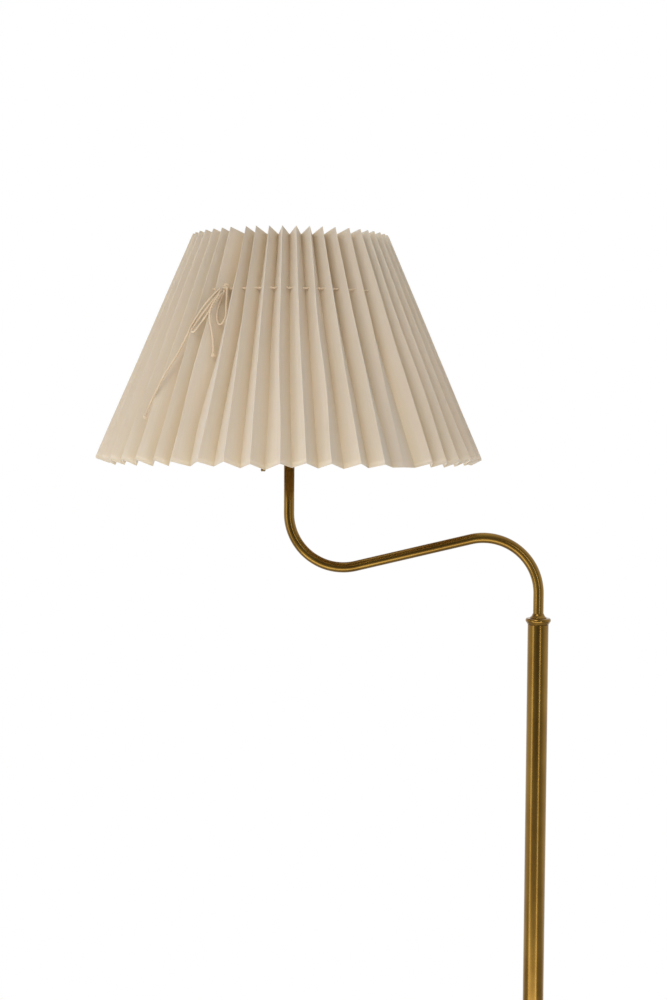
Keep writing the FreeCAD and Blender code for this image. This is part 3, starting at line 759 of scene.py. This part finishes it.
hub, rim_top = 19.0, 13.0
cover = [(BASE_R, 1.0), (BASE_R, rim_top), (BASE_R - 1.5, rim_top + 3.5), (BASE_R - 5, rim_top + 5),
         (hub + 1, BASE_TOP), (5.3, BASE_TOP), (5.3, BASE_TOP - COVER_WALL), (hub, BASE_TOP - COVER_WALL),
         (BASE_R - 5.6, rim_top + 3.9), (BASE_R - 2.4, rim_top + 2.8), (BASE_R - COVER_WALL, rim_top),
         (BASE_R - COVER_WALL, 1.0)]
cover_piece = place("cover_spun", turned("cover_spun", cover, cut=1.6), "stand", "aged_brass", ["base_cover"])

GLAND_HOLE_R, DRILL_LENGTH = 4.6 * MM, 16 * MM
gland_low, gland_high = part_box("cord_gland")
drill = bmesh.new()
hole_middle = Matrix.Translation((0, gland_high.y, (gland_low.z + gland_high.z) / 2))
bmesh.ops.create_cone(drill, cap_ends=True, segments=64, radius1=GLAND_HOLE_R, radius2=GLAND_HOLE_R,
                      depth=DRILL_LENGTH, matrix=hole_middle @ Matrix.Rotation(math.pi / 2, 4, "X"))
drill_mesh = bpy.data.meshes.new("drill")
drill.to_mesh(drill_mesh)
drill.free()
drill_piece = bpy.data.objects.new("drill", drill_mesh)
bpy.context.collection.objects.link(drill_piece)
hole = cover_piece.modifiers.new("gland_hole", "BOOLEAN")
hole.object, hole.operation, hole.solver = drill_piece, "DIFFERENCE", "EXACT"
bpy.context.view_layer.update()
cut_mesh = bpy.data.meshes.new_from_object(cover_piece.evaluated_get(bpy.context.evaluated_depsgraph_get()))
cover_piece.modifiers.clear()
cover_piece.data = cut_mesh
bpy.data.objects.remove(drill_piece)
print("cover with its hole:", len(cut_mesh.polygons), "faces")

# %% [markdown]
# ## The arm
# The arm is one length of 10 mm tube. It rises out of the pole, bends over, runs down
# towards the shade, and bends up again into the stem. Its centreline is three straights
# and two arcs in one plane. A tube's wall is its outer skin going there and its inner skin
# coming back, closed at both ends.

# %% Bend the arm
REACH = -SHADE_X / MM
LOWER_BEND, UPPER_BEND, SLOPE_DEG = 52.0, 53.5, 13.5
SHANK_ABOVE = 29.6
ARC_STEPS = 72


def arm_line(low, high):
    """Points (x, z) in mm and the heading at each. The upper bend is its centre plus R (cos
    t, sin t) for t from 0 to 90 degrees plus the slope, heading t + 90. The lower bend has t
    going from 270 degrees plus the slope down to 180, heading t - 90."""
    slope = math.radians(SLOPE_DEG)
    straight = (REACH - (LOWER_BEND + UPPER_BEND) * (1 + math.sin(slope))) / math.cos(slope)
    upper = np.array([-UPPER_BEND, POLE_TOP / MM + SHANK_ABOVE])
    drop = (LOWER_BEND + UPPER_BEND) * math.cos(slope) - straight * math.sin(slope)
    lower = np.array([LOWER_BEND - REACH, upper[1] + drop])
    over = np.linspace(0, math.pi / 2 + slope, ARC_STEPS)
    under = np.linspace(3 * math.pi / 2 + slope, math.pi, ARC_STEPS)
    points = [[[0, low]], upper + UPPER_BEND * np.stack([np.cos(over), np.sin(over)], 1),
              lower + LOWER_BEND * np.stack([np.cos(under), np.sin(under)], 1), [[-REACH, high]]]
    heading = np.concatenate([[math.pi / 2], over + math.pi / 2, under - math.pi / 2, [math.pi / 2]])
    return np.concatenate(points), heading


def tube_wall(name, points, heading, outer, inner, sides=64):
    """Skin point (i, j) is point i plus r (cos b across + sin b y), where across is the
    heading turned by a right angle in the tube's plane. Rows go up the outer skin and come
    back down the inner one."""
    b = np.linspace(0, 2 * math.pi, sides, endpoint=False)[None, :]
    skins = []
    for radius in (outer, inner):
        x = points[:, :1] - radius * np.cos(b) * np.sin(heading)[:, None]
        z = points[:, 1:] + radius * np.cos(b) * np.cos(heading)[:, None]
        skins.append(np.stack([x, np.broadcast_to(radius * np.sin(b), x.shape), z], axis=2) * MM)
    return from_grid(name, np.concatenate([skins[0], skins[1][::-1]]), (True, True))


arm_foot, arm_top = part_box("arm_tube")[0].z / MM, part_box("arm_tube")[1].z / MM
arm_mesh = tube_wall("arm_bent", *arm_line(arm_foot, arm_top), ARM_R, ARM_R - ARM_WALL)
place("arm_bent", arm_mesh, "arm", "aged_brass", ["arm_tube"])

# %% [markdown]
# ## The lampholder's cap and the bulb
# Seen from below or from above, the lampholder and the bulb show inside the shade. The
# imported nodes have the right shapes, and only the two largest curves, the spun cap and the
# blown glass, are made again with finer outlines.

# %% Cap and glass
cap = [(5.05, 13), (8, 13), (8.6, 17), (11, 23), (15.5, 29), (18.4, 32.5), (19, 36), (19, 56), (18, 56),
       (18, 36.3), (17.5, 33.2), (14.8, 30), (10.2, 24), (7.8, 18), (7.2, 14.2), (5.05, 14.2)]
glass = [(13.1, 91), (14, 96), (18, 105), (25, 117), (29, 128), (30, 137), (28.7, 147), (24.5, 156), (18, 162.5),
         (9.5, 166.2), (0, 167)]
GLASS_WALL, GLASS_CUT = 0.9, 6
inner_glass = [(0, 167 - GLASS_WALL), (9.2, 165.3), (17.4, 161.8), (23.8, 155.5), (27.8, 146.7), (29.1, 137),
               (28.1, 128.3), (24.2, 117.4), (17.1, 105.4), (13.1, 96.2), (12.2, 91)]


def blown(name, outer, inner):
    """The glass's wall: the outer outline up to its pole and the inner one back down, each
    eased, with the two turned together and joined at the neck."""
    r, z = np.concatenate([eased(outline, GLASS_CUT, False) for outline in (outer, inner)]).T
    a = np.linspace(0, 2 * math.pi, AROUND, endpoint=False)
    grid = np.stack([SHADE_X + r[:, None] * np.cos(a), r[:, None] * np.sin(a),
                     np.broadcast_to(RIM + z[:, None], (len(r), AROUND))], axis=2)
    shells = [grid[:len(grid) // 2], grid[len(grid) // 2:]]
    neck_edge = np.stack([shells[1][-1], shells[0][0]])
    return sealed(join(name, [from_grid(name, part) for part in (*shells, neck_edge)]))


place("cap_spun", turned("cap_spun", cap, SHADE_X, RIM, cut=2.0), "arm", "aged_brass", ["lampholder_cap"])
place("bulb_blown", blown("bulb_blown", glass, inner_glass), "arm", "bulb_glass", ["bulb_glass"])

# %% [markdown]
# ## The floor
# The lamp stands on a plain pale floor that takes its shadow. The floor reaches further in
# front of the lamp than behind it, so it stays below the picture's lower edge, and the
# pole, which is seen from above, still has it to reflect.

# %% Lay the floor
FLOOR_R, FLOOR_FORWARD, FLOOR_GAP = 3.6, 2.2, 0.1 * MM
a = np.linspace(0, 2 * math.pi, AROUND, endpoint=False)
reach = np.array([0.0, 0.5, 1.0])[:, None] * FLOOR_R
floor_grid = np.stack([SHADE_X / 2 + reach * np.cos(a), reach * np.sin(a) - FLOOR_FORWARD,
                       np.full((3, AROUND), FLOOR_Z - FLOOR_GAP)], axis=2)
floor_mesh = from_grid("studio_floor", floor_grid)
floor = bpy.data.objects.new("studio_floor", floor_mesh)
bpy.context.collection.objects.link(floor)
material, tree, shader = new_finish("painted_studio_floor", {"Base Color": linear("#ECEBE8"), "Roughness": 0.8})
floor.data.materials.append(material)
print("floor", FLOOR_R, "m in radius")

# %% [markdown]
# ## Light
# The photograph has a white background, so the world is white to the camera and through
# glass. In reflections only the sweep behind the lamp is white. The room in front of it,
# around the camera, is dim, and that is the dark line along the middle of each brass tube.
# The room also lights the cloth less than the sweep does, and some of the sweep's light
# comes through the cloth and brightens the inside of the shade.
#
# The brass shows the lamps as streaks: a tall soft box at the left and a narrow one right
# of the camera make the two on the pole. The main light comes from high in front, a
# little left. A low one in front lights the inside of the shade, which the upper side of
# the arm reflects.

# %% Light the world
AMBIENT, SWEEP_LIGHT = 0.36, 0.9  # on matt surfaces, from the room and from the sweep behind the lamp
DIM_ROOM = 0.16
world = bpy.data.worlds.new("white_studio")
bpy.context.scene.world = world
world.use_nodes = True
tree = world.node_tree
rays = add(tree, "LightPath")
facing = add(tree, "SeparateXYZ", {"Vector": add(tree, "TexCoord").outputs["Generated"]})
sweep = add(tree, "MapRange", {"Value": facing.outputs["Y"], "From Min": -1.0, "From Max": -0.1, "To Min": DIM_ROOM,
                               "To Max": 1.0})
reflected = add(tree, "Math", {0: rays.outputs["Is Glossy Ray"], 1: sweep.outputs["Result"]}, operation="MULTIPLY")
shown = add(tree, "Math", {0: rays.outputs["Is Camera Ray"], 1: rays.outputs["Is Transmission Ray"]},
            operation="MAXIMUM")
seen = add(tree, "Math", {0: shown.outputs["Value"], 1: reflected.outputs["Value"]}, operation="MAXIMUM")
ambient = add(tree, "MapRange", {"Value": facing.outputs["Y"], "From Min": -0.2, "From Max": 0.8, "To Min": AMBIENT,
                                 "To Max": SWEEP_LIGHT})
lights = add(tree, "MapRange", {"Value": rays.outputs["Is Glossy Ray"], "To Min": ambient.outputs["Result"],
                                "To Max": 0.0})
strength = add(tree, "Math", {0: seen.outputs["Value"], 1: lights.outputs["Result"]}, operation="MAXIMUM")
backdrop = tree.nodes["Background"]
backdrop.inputs["Color"].default_value = (1.0, 1.0, 1.0, 1.0)
tree.links.new(strength.outputs["Value"], backdrop.inputs["Strength"])
print("world: white to the camera, on the object", AMBIENT, "from the room and", SWEEP_LIGHT, "from behind")

# %% Place the lamps
AIM_BELOW_RIM = 0.1


def soft_box(name, azimuth, distance, height, size, radiance):
    """An area lamp at a turn from the front, in degrees towards +x, that faces the shade. Its
    power is its radiance times pi times its area."""
    width, tall = size
    data = bpy.data.lights.new(name, "AREA")
    data.shape, data.size, data.size_y = "RECTANGLE", width, tall
    data.energy = radiance * math.pi * width * tall
    lamp = bpy.data.objects.new(name, data)
    bpy.context.collection.objects.link(lamp)
    turn = math.radians(azimuth)
    middle = Vector((SHADE_X / 2, 0, RIM - AIM_BELOW_RIM))
    lamp.location = middle + Vector((distance * math.sin(turn), -distance * math.cos(turn), height - middle.z))
    lamp.rotation_euler = (middle - lamp.location).to_track_quat("-Z", "Y").to_euler()
    lamp.visible_camera = False
    print(f"{name}: {data.energy:.0f} W")


# name, turn in degrees, distance and height in metres, size in metres, radiance
soft_box("main_soft_box", -30, 1.9, 2.4, (1.3, 1.2), 3.1)
soft_box("left_strip", -60, 2.2, 0.9, (0.6, 1.8), 1.7)
soft_box("right_strip", 22, 2.4, 0.9, (0.28, 1.8), 3.0)
soft_box("low_fill", -12, 0.8, 0.2, (1.8, 0.5), 2.2)
